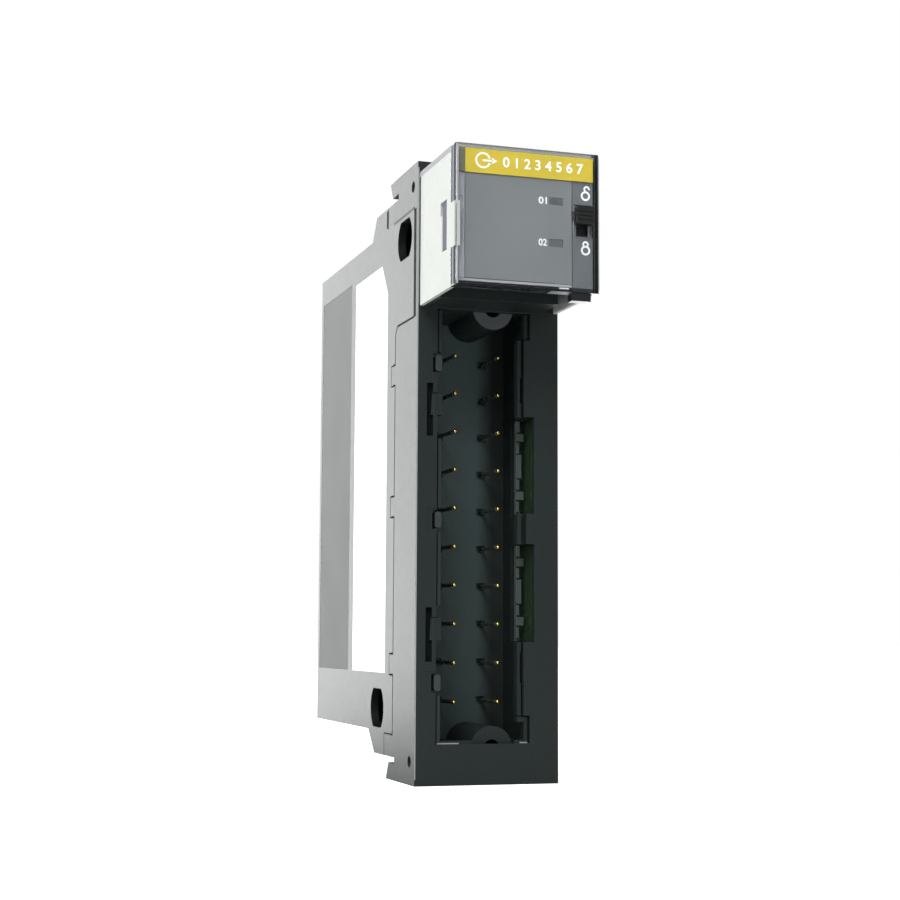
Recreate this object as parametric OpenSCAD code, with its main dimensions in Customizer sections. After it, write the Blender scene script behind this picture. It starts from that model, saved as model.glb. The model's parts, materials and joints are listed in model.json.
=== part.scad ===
// Rack-mounted input/output module: a tall narrow plastic case with a status box at the top of
// its front, a recessed terminal well with contact pins below it, and a plug at the rear.
// Millimetres. X runs across the module, Y to the rear and Z up. The origin is at the centre of
// the rear plug's mating face. Inside at_datum() the places are counted from the front face (Y)
// and from the bottom edge (Z), which is how the case is laid out.

/* [Case] */
// Overall height of the side plates
module_h = 145; // [144:0.5:147]
// Overall width across the side plates
module_w = 35; // [34.6:0.1:36]
// Depth from the front face to the back of the case
case_depth = 95; // [92:1:110]
// Thickness of the side plates
side_t = 2; // [1.8:0.1:2.1]
// Thickness of the top, bottom and rear walls
wall_t = 1.8; // [1.2:0.1:2.2]
// How far the top and bottom of the rear case lie inside the overall height
shoulder = 11; // [10.5:0.5:14]

/* [Rack hooks] */
// Height of each hook that reaches over the rack's rim
hook_h = 4; // [3.6:0.1:4.2]
// Depth at the back of each hook
hook_back = 23.8; // [22:0.2:26]
// Thickness of the rack's rim that fits in each slot
rim_slot = 1.4; // [1.2:0.1:1.5]
// Depth at the bottom of each rim slot
rim_y = 16.6; // [16.4:0.1:17]

/* [Status box] */
// Height of the status box
box_h = 31.9; // [31.2:0.1:32]
// How far the status box stands out in front of the case
box_out = 27; // [26:0.5:30]
// Overall width of the status box
box_w = 34.1; // [33.9:0.1:34.2]
// Thickness of the box's walls and its clear window
box_t = 1; // [0.9:0.1:1]
// Height of the gap between the top of the box and the top of the case
box_drop = 2.7; // [2.6:0.1:3.2]

/* [Terminal well] */
// Number of contact rows
pin_rows = 10; // [6:1:10]
// Distance between contact rows
pin_pitch = 9.12; // [8.5:0.01:9.15]
// Distance between the two contact columns
pin_columns = 10.9; // [10:0.1:11.2]
// Diameter of a contact pin
pin_d = 1; // [0.8:0.1:1.2]
// Depth of the pin tips behind the front face
pin_tip_y = 8; // [7:0.5:10]
// Depth of the well's floor behind the front face
well_floor_y = 21.5; // [20:0.5:22]
// Height of the well's bottom edge
well_z0 = 9.3; // [9.3:0.1:9.6]

/* [Moving parts] */
// Travel of the locking slide, downwards
slide_travel = 2.4; // [2:0.1:3]
// Diameter of the latch pivot pins
pivot_d = 2.4; // [2:0.1:2.6]
// Radial running clearance of each latch on its pins
pivot_gap = 0.05; // [0.03:0.01:0.1]

/* [Rear plug] */
// How far the plug stands out of the back of the case
plug_out = 8.5; // [7:0.5:12]
// Width of the plug
plug_w = 11; // [11:0.5:14]
// Number of contact rows in the plug
plug_rows = 20; // [12:2:22]
// Distance between the plug's contact rows
plug_pitch = 2.54; // [2.5:0.01:2.6]

/* [Hidden] */
$fn = 48;

mid_z = module_h / 2;
half_w = module_w / 2;
inner_x = half_w - side_t;
front_t = 1.8;
cut = 0.1;

// Side profile
hook_rake = 2.2;
jaw_h = hook_h + rim_slot;
top_ramp_y = 36.3;
bottom_ramp_y = 34.5;
ramp_end_y = 40.3;

// Seam between the bezel and the side covers
seam_y = 18.2;
seam_gap = 0.3;
seam_block_y = 25.5;
seam_block_h = 10.5;
seam_front_y = 2.7;
seam_notch_z = 108.2;
snap_y = 21.5;
snap_z = [27.2, 64.8, 96.7];
snap_h = 4.7;

// Status box
box_z1 = module_h - box_drop;
box_z0 = box_z1 - box_h;
box_x = box_w / 2;
box_roof = 0.8;
box_corner = 0.4;
cover_back_y = -box_out + 3.3;
nose_x0 = -15.6;
nose_x1 = 13;
nose_y = -12;
collar_y = -0.5;
panel_y = -box_out + box_t + 0.4;
panel_t = 1;
panel_x = [-14.4, 10.8];
panel_z0 = box_z0 + 1.9;
panel_z1 = box_z1 - box_roof - 0.3;
clip_z = [box_z0 + 9.1, box_z0 + 20.4];
clip_y = cover_back_y + 3;
indicator_z = [box_z0 + 11.1, box_z0 + 20.65];
indicator_x = [5.4, 8.7];
indicator_h = 1.7;
strip_z0 = box_z1 - 6.3;
strip_x1 = box_x - box_t - 0.2;

// Locking slide, up at rest
slide_x = [11.7, 15.2];
guide_x = [11, strip_x1];
guide_z0 = box_z0 + 0.5;
guide_rail = 0.35;
thumb_z = [box_z0 + 15.6, box_z0 + 19.6];
thumb_x = [11.4, 15.5];
nub_x = 10.7;
thumb_proud = 0.9;
tab_x = [11, 15.6];
tab_z = [box_z0 - 1.6, box_z0 + 0.1];
slide_window = [12, 15.1];

// Terminal well
well_z1 = box_z0 - 0.2;
row_drop = 0.14;
row_mid_z = (well_z0 + well_z1) / 2 - row_drop;
well_x0 = -12.9;
well_x1 = 11.4;
well_wall = 1;
opening_x0 = -12.45;
opening_x1 = 10.5;
post_x = 1.8;
post_r = 5.1;
post_bore_r = 2;
post_y = 2.1;
post_inset = 1.1;
post_flat_z = 5;
rack_x = 10.2;
rack_y = [8.7, 10.2];
header_t = 3;
header_back = well_floor_y + header_t;

// Lips just inside the edge of the opening, held from behind by webs. Heights in this part of
// the list are counted from the well's bottom edge.
lip_y = [0.9, 3.4];
lip_web_y = 2.2;
lip_x = [-12, -11.1];
left_lip_z = [[0.2, 11.2], [31.6, 48.7], [54.1, 70.4], [90.7, 100.6]];
right_lip_x = [7.7, 8.6];
corner_lip_x = [9.3, 10.2];
corner_lip_z = 6.1;

// Coding blocks on the right edge of the well: [bottom, top, left edge]
coding_blocks = [[6.4, 23.3, 8.95], [46.2, 53.3, 9.6], [76.2, 94.5, 9.05]];
// Windows between the coding blocks
coding_windows = [[23.3, 46.2], [53.3, 76.2]];
// Places of the coding tabs on the left edge, and the recess and pocket around each
key_z = [14, 51.4, 88];
key_x = [-12.75, -11.2];
key_h = 3.7;
key_pocket = [-13.5, 2.6, 4.4];
key_recess = [-14.9, 0.15, 5.2];
// Long slots in the left margin of the face, and the tab that bridges each
slot_x = [-15, -13.4];
slot_z = [18.8, 70.8];
slot_h = 12.4;
slot_tab_z = 4.9;
slot_tab_h = 5;
// Narrow slots beside the right lips: [bottom, top]
lip_slot_z = [[13.9, 20.9], [79.5, 85.4]];
// Coding pieces of one window: [bottom, top, reach to the right]
rack_pieces = [[1, 3.5, 0.7], [3.9, 5.9, 1.9], [6.35, 8.75, 0.75], [9.1, 14.8, 1.3],
    [15.15, 17.55, 0.75], [18, 19.85, 1.9], [20.25, 22.85, 0.9]];

// Latches: h is the distance in from the top or bottom edge
pivot_y = 4;
pivot_h = 5.3;
pocket_h = 8.3;
barrel_r = 2;
leg_x = [8.5, 13];
ear_x = [7.2, 8.2];
pin_out_x = half_w - 0.9;
arm_h = [5.6, 6.8];
barb_h = 4.5;
pad_y = [6, 15.5];
pad_h = [0.3, 2.6];

// Boards
board_x = 12.7;
board_t = 1.6;
board_y = [3, case_depth - wall_t - 0.6];
board_z = [shoulder + wall_t + 0.6, module_h - shoulder - wall_t - 0.6];
screw_y = [34, case_depth - 8];
screw_z = [board_z[0] + 5, board_z[1] - 5];
plug_half = plug_rows * plug_pitch / 2 + 4;
plug_columns = [-3.81, -1.27, 1.27, 3.81];
plug_front = case_depth - 10;
plug_hole = 7;

// Cooling slots in the top and bottom
vent_count = 8;
vent_pitch = 5.6;
vent_w = 2.4;
vent_x = 11;

module at_datum() { translate([0, -(case_depth + plug_out), -mid_z]) children(); }

// A block between its lowest and highest corners
module block(low, high) { translate(low) cube(high - low); }

// An outline drawn as [y, z], made into a slab from x0 to x1
module slab_x(x0, x1) {
    translate([x0, 0, 0]) rotate([90, 0, 90]) linear_extrude(x1 - x0) children();
}

// An outline drawn as [x, z], made into a slab from y0 back to y1
module slab_y(y0, y1) {
    translate([0, y1, 0]) rotate([90, 0, 0]) linear_extrude(y1 - y0) children();
}

// A round bar along X
module bar_x(x0, x1, y, z, r) {
    translate([x0, y, z]) rotate([0, 90, 0]) cylinder(h = x1 - x0, r = r);
}

// A round bar along Y
module bar_y(y0, y1, x, z, r) {
    translate([x, y0, z]) rotate([-90, 0, 0]) cylinder(h = y1 - y0, r = r);
}

// A square bar along Y with round edges
module soft_bar_y(low, high, r) {
    block(low + [r, 0, 0], high - [r, 0, 0]);
    block(low + [0, 0, r], high - [0, 0, r]);
    for (x = [low[0] + r, high[0] - r], z = [low[2] + r, high[2] - r])
        bar_y(low[1], high[1], x, z, r);
}

// Repeats a part drawn at the bottom edge at the top edge as well
module mirrored_top() { translate([0, 0, module_h]) mirror([0, 0, 1]) children(); }

function row_z(row) = row_mid_z + (row - (pin_rows - 1) / 2) * pin_pitch;
function plug_row_z(row) = mid_z + (row - (plug_rows - 1) / 2) * plug_pitch;

// Depth of the tails behind the left (s = -1) and right (s = 1) columns of pins
function tail_y(s) = header_back + (s > 0 ? 2.5 : 5);

// Whole side profile, with the hooks and the rim slots
module side_outline() {
    top = module_h;
    polygon([[0, 0], [hook_back, 0], [hook_back - hook_rake, hook_h], [rim_y, hook_h],
        [rim_y, jaw_h], [bottom_ramp_y, jaw_h], [ramp_end_y, shoulder], [case_depth, shoulder],
        [case_depth, top - shoulder], [ramp_end_y, top - shoulder], [top_ramp_y, top - jaw_h],
        [rim_y, top - jaw_h], [rim_y, top - hook_h], [hook_back - hook_rake, top - hook_h],
        [hook_back, top], [0, top]]);
}

// The part of the side profile that belongs to the bezel, grown by g at its seam
module bezel_zone(g) {
    top = module_h + cut;
    polygon([[-cut, -cut], [seam_block_y + g, -cut], [seam_block_y + g, seam_block_h + g],
        [seam_y + g, seam_block_h + g], [seam_y + g, seam_notch_z - 1.8],
        [seam_y - 1.8 + g, seam_notch_z + g],
        [seam_front_y + g, seam_notch_z + g], [seam_front_y + g, module_h - seam_block_h - g],
        [seam_block_y + g, module_h - seam_block_h - g], [seam_block_y + g, top], [-cut, top]]);
    for (z = snap_z) translate([seam_y - 1, z - snap_h / 2 - g])
        square([snap_y - seam_y + 1 + g, snap_h + 2 * g]);
}

module bezel_side(x0, x1) {
    intersection() {
        slab_x(x0, x1) side_outline();
        slab_x(x0 - cut, x1 + cut) bezel_zone(0);
    }
}

module cover_side(x0, x1) {
    difference() {
        slab_x(x0, x1) side_outline();
        slab_x(x0 - cut, x1 + cut) bezel_zone(seam_gap);
    }
}

// Opening in the front face, before the coding blocks narrow it
module well_opening() {
    block([opening_x0, -cut, well_z0], [opening_x1, front_t + cut, well_z1]);
    for (w = coding_windows)
        block([0, -cut, well_z0 + w[0]], [well_x1 + 0.2, front_t + cut, well_z0 + w[1]]);
}

module guide_post(z, flat_z) {
    intersection() {
        difference() {
            bar_y(post_y, well_floor_y, post_x, z, post_r);
            bar_y(post_y - cut, well_floor_y + cut, post_x, z, post_bore_r);
        }
        block([-half_w, 0, flat_z], [half_w, case_depth, module_h]);
    }
}

// Web and pivot ears of one latch pocket, drawn at the bottom edge
module latch_pocket(web_top) {
    block([-inner_x - cut, 0, pocket_h], [inner_x + cut, seam_block_y, web_top]);
    for (s = [0, 1]) mirror([s, 0, 0])
        block([ear_x[0], front_t - cut, pivot_h - 2], [ear_x[1], pivot_y + 2, pocket_h + cut]);
}

// Recess and pocket around a coding tab: [left, depth, height]
module key_cut(z, size) {
    block([size[0], -cut, well_z0 + z - size[2] / 2], [0, size[1], well_z0 + z + size[2] / 2]);
}

// Cuts in the left margin of the face and in the right lips
module margin_cuts() {
    for (z = key_z) {
        key_cut(z, key_pocket);
        key_cut(z, key_recess);
    }
    for (z = slot_z) {
        low = well_z0 + z;
        block([slot_x[0], -cut, low], [slot_x[1], 6, low + slot_h]);
        // thin line over the tab
        block([slot_x[1] - cut, -cut, low + slot_tab_z + slot_tab_h],
            [opening_x0 + cut, 0.5, low + slot_tab_z + slot_tab_h + 0.3]);
    }
}

module front_bezel() {
    color("#343b39") at_datum() difference() {
        union() {
            bezel_side(-half_w, -inner_x);
            bezel_side(inner_x, half_w);
            block([-inner_x - cut, 0, 0], [inner_x + cut, front_t, module_h]);
            // well walls
            block([well_x0 - well_wall, 0, well_z0 - 1], [well_x0, well_floor_y, well_z1 + 1.2]);
            block([well_x1, 0, well_z0 - 1], [well_x1 + well_wall, well_floor_y, well_z1 + 1.2]);
            block([well_x0 - well_wall, 0, well_z1], [well_x1 + well_wall, well_floor_y, well_z1 + 1.2]);
            latch_pocket(well_z0);
            mirrored_top() latch_pocket(seam_block_h);
            // nose inside the status box and the collar behind it
            block([nose_x0, nose_y, box_z0], [nose_x1, front_t, box_z1 - box_t - 0.2]);
            block([-box_x + 0.6, collar_y, box_z0], [box_x - 0.6, front_t, box_z1]);
        }
        difference() {
            well_opening();
            for (b = coding_blocks)
                block([b[2], -1, well_z0 + b[0]], [half_w, well_floor_y, well_z0 + b[1]]);
        }
        // nose hollow
        block([nose_x0 + 1.2, nose_y + 1.2, box_z0 + 1.4], [nose_x1 - 1.2, front_t + cut, box_z1 - 2.8]);
        for (z = indicator_z)
            block([indicator_x[0] - 0.2, nose_y - cut, z - indicator_h / 2 - 0.2],
                [indicator_x[1] + 0.2, nose_y + 2, z + indicator_h / 2 + 0.2]);
        // gaps beside the coding rack, through to the board
        for (w = coding_windows)
            block([well_x1 - cut, front_t, well_z0 + w[0]], [well_x1 + well_wall + cut, 16, well_z0 + w[1]]);
        margin_cuts();
        for (z = [pivot_h, module_h - pivot_h]) {
            bar_x(-half_w - cut, -ear_x[0] + cut, pivot_y, z, pivot_d / 2 + pivot_gap);
            bar_x(ear_x[0] - cut, half_w + cut, pivot_y, z, pivot_d / 2 + pivot_gap);
        }
        // bores of the guide posts where they cross the webs
        for (z = [well_z0 - post_inset, well_z1 + post_inset])
            bar_y(post_y, well_floor_y + cut, post_x, z, post_bore_r);
    }
    color("#343b39") at_datum() bezel_details();
}

// An upright lip from x[0] to x[1], with its web reaching out to x_wall
module upright_lip(x, z, x_wall) {
    block([x[0], lip_y[0], well_z0 + z[0]], [x[1], lip_y[1], well_z0 + z[1]]);
    block([min(x[0], x_wall), lip_web_y, well_z0 + z[0]], [max(x[1], x_wall), lip_y[1], well_z0 + z[1]]);
}

// Lips round the inside of the opening
module lips() {
    well_top = well_z1 - well_z0 - 0.2;
    for (z = left_lip_z) upright_lip(lip_x, z, well_x0 - cut);
    difference() {
        for (b = coding_blocks) upright_lip(right_lip_x, [b[0], b[1]], b[2] + cut);
        for (z = lip_slot_z)
            block([right_lip_x[1] - 0.3, -cut, well_z0 + z[0]], [well_x1, lip_y[1] + cut, well_z0 + z[1]]);
    }
    // corners of the opening
    for (z = [[0.2, corner_lip_z], [coding_blocks[2][1] + 0.3, well_top]])
        upright_lip(corner_lip_x, z, well_x1 + cut);
    for (x = [[lip_x[0], -3.5], [7.1, corner_lip_x[1]]])
        block([x[0], lip_y[0], well_z0 - cut], [x[1], lip_y[1], well_z0 + 0.75]);
    block([right_lip_x[0], lip_y[0], well_z0 + corner_lip_z - 1.2],
        [corner_lip_x[1], lip_y[1], well_z0 + corner_lip_z]);
}

// Coding blocks, lips, slot tabs and guide posts of the well
module bezel_details() {
    for (b = coding_blocks)
        block([b[2], 0, well_z0 + b[0]], [well_x1 + 0.2, 6, well_z0 + b[1]]);
    lips();
    for (z = slot_z) translate([0, 0, well_z0 + z + slot_tab_z]) slab_y(0.15, 5)
        polygon([[slot_x[1] - 0.55, 0], [key_x[1], 0], [key_x[1], slot_tab_h],
            [slot_x[1] - 0.25, slot_tab_h]]);
    guide_post(well_z0 - post_inset, post_flat_z);
    guide_post(well_z1 + post_inset, 0);
}

// Inside of the case, open to the bezel
module case_hollow() {
    back = case_depth - wall_t;
    ramp_in = 0.8;
    low = [jaw_h + wall_t, shoulder + wall_t];
    high = [module_h - low[0], module_h - low[1]];
    polygon([[-1, low[0]], [bottom_ramp_y - ramp_in, low[0]], [ramp_end_y - ramp_in, low[1]],
        [back, low[1]], [back, high[1]], [ramp_end_y - ramp_in, high[1]],
        [top_ramp_y - ramp_in, high[0]], [-1, high[0]]]);
}

module main_case() {
    color("#3a4240") at_datum() difference() {
        union() {
            difference() {
                cover_side(-inner_x, half_w);
                slab_x(-half_w, inner_x) case_hollow();
            }
            for (y = screw_y, z = screw_z)
                bar_x(board_x + board_t, inner_x + cut, y, z, 3);
        }
        for (y = screw_y, z = screw_z)
            bar_x(board_x + board_t - cut, half_w - 0.8, y, z, 1.25);
        // window for the rear plug
        block([-plug_w / 2 - 0.3, case_depth - wall_t - cut, mid_z - plug_half - 0.3],
            [plug_w / 2 + 0.3, case_depth + cut, mid_z + plug_half + 0.3]);
        // cooling slots
        for (i = [0:vent_count - 1], z = [shoulder, module_h - shoulder]) {
            vent_y = ramp_end_y + 5 + i * vent_pitch;
            block([-vent_x, vent_y, z - wall_t - cut], [vent_x, vent_y + vent_w, z + wall_t + cut]);
        }
    }
}

module label_outline() {
    polygon([[25.5, 25], [57, 25], [57, 126], [31, 126], [25.5, 118]]);
}

module rating_outline() {
    translate([61, 25]) square([32, 102]);
}

// Round hole with a flat above and below
module flatted_hole(y, z) {
    intersection() {
        bar_x(-half_w - cut, -inner_x + cut, y, z, 5.9);
        block([-half_w - 1, y - 7, z - 4.7], [0, y + 7, z + 4.7]);
    }
}

module side_cover() {
    color("#b7bdba") at_datum() difference() {
        cover_side(-half_w, -inner_x);
        flatted_hole(10.8, module_h - 16.5);
        flatted_hole(32.2, 16.4);
        slab_x(-half_w - cut, -half_w + 0.2) label_outline();
        slab_x(-half_w - cut, -half_w + 0.2) rating_outline();
    }
}

module side_label() {
    color("white") at_datum() slab_x(-half_w + 0.05, -half_w + 0.2) label_outline();
}

module rating_label() {
    color("#a2a6a4") at_datum() slab_x(-half_w + 0.05, -half_w + 0.2) rating_outline();
}

// One latch, drawn at the bottom edge: a thumb pad, and two legs with barrels, arms and barbs
module latch() {
    difference() {
        union() {
            for (s = [0, 1]) mirror([s, 0, 0]) {
                slab_x(leg_x[0], leg_x[1]) polygon([[pivot_y, pivot_h - 1.8], [pad_y[0], pad_h[0]],
                    [pad_y[1], pad_h[0]], [pad_y[1], arm_h[0]], [18.2, arm_h[0]], [18.5, barb_h],
                    [19.8, barb_h], [21.2, arm_h[0]], [21.2, arm_h[1]], [pivot_y, arm_h[1]]]);
                bar_x(leg_x[0], leg_x[1], pivot_y, pivot_h, barrel_r);
            }
            block([-leg_x[0] - cut, pad_y[0], pad_h[0]], [leg_x[0] + cut, pad_y[1], pad_h[1]]);
        }
        for (s = [0, 1]) mirror([s, 0, 0])
            bar_x(leg_x[0] - cut, leg_x[1] + cut, pivot_y, pivot_h, pivot_d / 2 + pivot_gap);
        // grip grooves
        for (i = [0:3])
            block([-leg_x[1] - cut, pad_y[0] + 1.6 + i * 1.8, 0],
                [leg_x[1] + cut, pad_y[0] + 2.3 + i * 1.8, 0.8]);
    }
}

module bottom_latch() { color("#262b2a") at_datum() latch(); }
module top_latch() { color("#262b2a") at_datum() mirrored_top() latch(); }

module latch_pins() {
    color("#9a9c9e") at_datum() for (z = [pivot_h, module_h - pivot_h], s = [0, 1]) mirror([s, 0, 0])
        bar_x(ear_x[0], pin_out_x, pivot_y, z, pivot_d / 2);
}

// Leaf springs between the web and the arms of one latch
module leaf_springs() {
    for (s = [0, 1]) mirror([s, 0, 0]) slab_x(9.2, 12.2)
        polygon([[7.5, pocket_h], [7.5, pocket_h - 0.25], [9, pocket_h - 0.25], [13, arm_h[1] + 0.05],
            [14.5, arm_h[1] + 0.05], [14.5, arm_h[1] + 0.3], [13.1, arm_h[1] + 0.3], [9.1, pocket_h]]);
}

module bottom_latch_spring() { color("silver") at_datum() leaf_springs(); }
module top_latch_spring() { color("silver") at_datum() mirrored_top() leaf_springs(); }

module status_housing() {
    color("#eff0ee") at_datum() difference() {
        block([-box_x, cover_back_y, box_z0], [box_x, collar_y, box_z1]);
        block([-box_x + box_t, cover_back_y - cut, box_z0 - cut],
            [box_x - box_t, collar_y + cut, box_z1 - box_t]);
        // clip slot, wider at its top
        for (s = [[3.4, clip_z[0]], [4.6, clip_z[1] - 2.9]])
            block([-box_x - cut, clip_y, s[1]], [-box_x + box_t + cut, clip_y + s[0], clip_z[1]]);
    }
}

module clear_cover() {
    front = -box_out;
    color("#dfe8ea", 0.4) at_datum() difference() {
        // outside, with chamfered front edges
        translate([0, 0, box_z0]) linear_extrude(box_h) polygon([[-box_x + box_corner, front],
            [box_x - box_corner, front], [box_x, front + box_corner], [box_x, cover_back_y],
            [-box_x, cover_back_y], [-box_x, front + box_corner]]);
        block([-box_x + box_t, front + box_t, box_z0 + box_t],
            [box_x - box_t, cover_back_y + cut, box_z1 - box_roof]);
        // window for the thumb piece, and notch for the slide's lower end
        block([thumb_x[0] - 0.4, front - cut, thumb_z[0] - slide_travel - 0.4],
            [thumb_x[1] + 0.4, front + box_t + cut, thumb_z[1] + 0.4]);
        block([tab_x[0] - 0.4, front + box_t, box_z0 - cut],
            [tab_x[1] + 0.4, cover_back_y + cut, box_z0 + box_t + cut]);
    }
    color("#dfe8ea", 0.4) at_datum() clip_arm();
}

// Snap arm that holds the clear cover in the slot of the housing
module clip_arm() {
    arm_x = -box_x + box_t;
    back = clip_y + 3.1;
    z = [clip_z[0] + 0.4, clip_z[1] - 0.4];
    block([arm_x + 0.1, -box_out + box_t - cut, z[0]], [arm_x + 0.9, back, z[1]]);
    block([arm_x - 0.7, clip_y + 0.3, z[0]], [arm_x + 0.1 + cut, back, z[1]]);
}

module legend_panel() {
    color("#7a8085") at_datum() difference() {
        block([panel_x[0], panel_y, panel_z0], [panel_x[1], panel_y + panel_t, panel_z1]);
        for (z = indicator_z)
            block([indicator_x[0], panel_y - cut, z - indicator_h / 2],
                [indicator_x[1], panel_y + 2, z + indicator_h / 2]);
    }
}

module type_strip() {
    color("#d2b941") at_datum()
        block([panel_x[0] - 0.1, panel_y - 0.3, strip_z0], [strip_x1, panel_y, box_z1 - box_roof - 0.05]);
}

module slide_guide() {
    color("#6f7579") at_datum() {
        difference() {
            block([guide_x[0], panel_y, guide_z0], [guide_x[1], panel_y + panel_t, panel_z1]);
            block([slide_window[0], panel_y - cut, thumb_z[0] - slide_travel - 0.2],
                [slide_window[1], panel_y + 2, thumb_z[1] + 0.3]);
        }
        for (x = [guide_x[0], guide_x[1] - guide_rail])
            block([x, panel_y + panel_t - cut, box_z0 + 1.4], [x + guide_rail, panel_y + 3.4, strip_z0]);
    }
}

module locking_slide() {
    color("#1c201f") at_datum() {
        back = panel_y + panel_t + 0.3;
        // pointer in front of the guide
        block([nub_x, panel_y - 0.32, thumb_z[0] + 0.9],
            [slide_window[0] + 0.4, panel_y - 0.06, thumb_z[0] + 3.1]);
        block([slide_x[0], back, tab_z[0] + cut], [slide_x[1], back + 1.5, thumb_z[1] + 1.2]);
        block([tab_x[0], panel_y + 0.1, tab_z[0]], [tab_x[1], back + 1.5, tab_z[1]]);
        neck_y = -box_out + box_t + cut;
        thumb_y = -box_out - thumb_proud;
        block([slide_window[0] + 0.3, neck_y, thumb_z[0] + 0.1],
            [slide_window[1] - 0.3, back + cut, thumb_z[1] - 0.1]);
        difference() {
            block([thumb_x[0], thumb_y, thumb_z[0]], [thumb_x[1], neck_y + cut, thumb_z[1]]);
            // grip grooves
            for (i = [0:2])
                block([thumb_x[0] - 1, thumb_y - cut, thumb_z[0] + 0.7 + i * 0.95],
                    [thumb_x[1] + 1, thumb_y + 0.3, thumb_z[0] + 1.05 + i * 0.95]);
        }
    }
}

module light_pipes() {
    color("#cfd6d6", 0.6) at_datum() for (z = indicator_z)
        block([indicator_x[0] + 0.05, panel_y + 0.1, z - indicator_h / 2 + 0.05],
            [indicator_x[1] - 0.05, nose_y + 1.6, z + indicator_h / 2 - 0.05]);
}

module status_board() {
    color("#1f6b3a") at_datum()
            block([-14.2, nose_y + 3.2, box_z0 + 2.2], [11.4, nose_y + 3.2 + board_t, box_z1 - 3.6]);
}

module status_leds() {
    color("#d8dcc8") at_datum() for (z = indicator_z)
        block([indicator_x[0] + 0.5, nose_y + 1.9, z - 0.6], [indicator_x[1] - 0.5, nose_y + 3.2, z + 0.6]);
}

// Flat cable from the status board to the main board, with its end blocks
module status_ribbon() {
    color("#c9c4b0") at_datum() {
        z0 = box_z0 + 6;
        translate([0, 0, z0]) linear_extrude(9) polygon([[8, nose_y + 6.8], [8.4, nose_y + 6.8], [8.4, 6.6],
            [board_x - 2, 6.6], [board_x - 2, 7], [8, 7]]);
        block([6.4, nose_y + 4.8, z0 - 1], [10, nose_y + 6.9, z0 + 10]);
        block([board_x - 2.1, 5, z0 - 1], [board_x, 9, z0 + 10]);
    }
}

module terminal_header() {
    color("#1d2120") at_datum() difference() {
        block([well_x0 - well_wall, well_floor_y, well_z0],
            [well_x1 + well_wall, header_back, well_z1 + 1.2]);
        for (row = [0:pin_rows - 1], s = [-1, 1]) {
            translate([s * pin_columns / 2 - 1.1, well_floor_y - cut, row_z(row) - 0.9]) cube([2.2, 1, 1.8]);
            bar_y(well_floor_y, header_back + cut, s * pin_columns / 2, row_z(row), pin_d / 2 + 0.02);
        }
    }
}

module contact_pins() {
    color("#d9a441") at_datum() for (row = [0:pin_rows - 1], s = [-1, 1]) {
        x = s * pin_columns / 2;
        bar_y(pin_tip_y + pin_d / 2, tail_y(s) + 0.4, x, row_z(row), pin_d / 2);
        translate([x, pin_tip_y + pin_d / 2, row_z(row)]) sphere(r = pin_d / 2, $fn = 24);
    }
}

// Tails from the backs of the pins to the main board
module solder_tails() {
    color("#c8b070") at_datum() for (row = [0:pin_rows - 1], s = [-1, 1])
        bar_x(s * pin_columns / 2 + pin_d / 2, board_x, tail_y(s), row_z(row), 0.35);
}

// One set of coding pieces on a rail, from the bottom of a window
module coding_set(z0) {
    rail = [rack_y[1] - 0.6, rack_y[1]];
    for (p = rack_pieces)
        block([rack_x, rack_y[0], z0 + p[0]], [rack_x + p[2], rail[0] + cut, z0 + p[1]]);
    block([rack_x, rail[0], z0 + 0.2], [rack_x + 0.9, rail[1], z0 + 22.7]);
    for (z = [0.2, 21.5])
        block([rack_x + 0.9 - cut, rail[0], z0 + z], [well_x1, rail[1], z0 + z + 1.2]);
}

module coding_rack() {
    color("#4a5250") at_datum() for (w = coding_windows) coding_set(well_z0 + w[0]);
}

// Rounded coding tabs on the well's left wall
module coding_keys() {
    color("#3f4745") at_datum() for (z = key_z) translate([0, 0, well_z0 + z]) {
        soft_bar_y([key_x[0], 0.4, -key_h / 2], [key_x[1], 6.8, key_h / 2], 0.5);
        block([well_x0, 3, -1.3], [key_x[0] + cut, 6.8, 1.3]);
    }
}

module main_board() {
    color("#1f6b3a") at_datum() difference() {
        block([board_x, board_y[0], board_z[0]], [board_x + board_t, board_y[1], board_z[1]]);
        for (y = screw_y, z = screw_z) bar_x(board_x - cut, board_x + board_t + cut, y, z, 1.5);
    }
}

module board_screws() {
    color("#b9bbbd") at_datum() for (y = screw_y, z = screw_z) difference() {
        union() {
            bar_x(board_x - 1.5, board_x, y, z, 2.6);
            bar_x(board_x - cut, half_w - 1, y, z, 1.2);
        }
        block([board_x - 1.6, y - 0.35, z - 1.6], [board_x - 0.8, y + 0.35, z + 1.6]);
        block([board_x - 1.6, y - 1.6, z - 0.35], [board_x - 0.8, y + 1.6, z + 0.35]);
    }
}

module backplane_plug() {
    color("#d8d4c6") at_datum() difference() {
        union() {
            block([-plug_w / 2, plug_front, mid_z - plug_half],
                [plug_w / 2, case_depth + plug_out, mid_z + plug_half]);
            block([plug_w / 2 - cut, plug_front, mid_z - plug_half],
                [board_x, case_depth - wall_t - 0.4, mid_z + plug_half]);
        }
        for (row = [0:plug_rows - 1], x = plug_columns)
            block([x - 0.6, case_depth + plug_out - plug_hole, plug_row_z(row) - 0.6],
                [x + 0.6, case_depth + plug_out + cut, plug_row_z(row) + 0.6]);
        // polarising notches at both ends
        for (s = [-1, 1])
            translate([-1.2, case_depth, mid_z + s * plug_half - 1.2]) cube([2.4, plug_out + cut, 2.4]);
    }
}

module backplane_contacts() {
    color("#d9a441") at_datum() for (row = [0:plug_rows - 1], x = plug_columns)
        block([x - 0.35, case_depth + plug_out - plug_hole, plug_row_z(row) - 0.2],
            [x + 0.35, case_depth + plug_out - 0.8, plug_row_z(row) + 0.2]);
}

module power_converter() {
    color("#22262a") at_datum() block([2.2, 58, 96], [board_x, 80, 122]);
}

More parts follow.
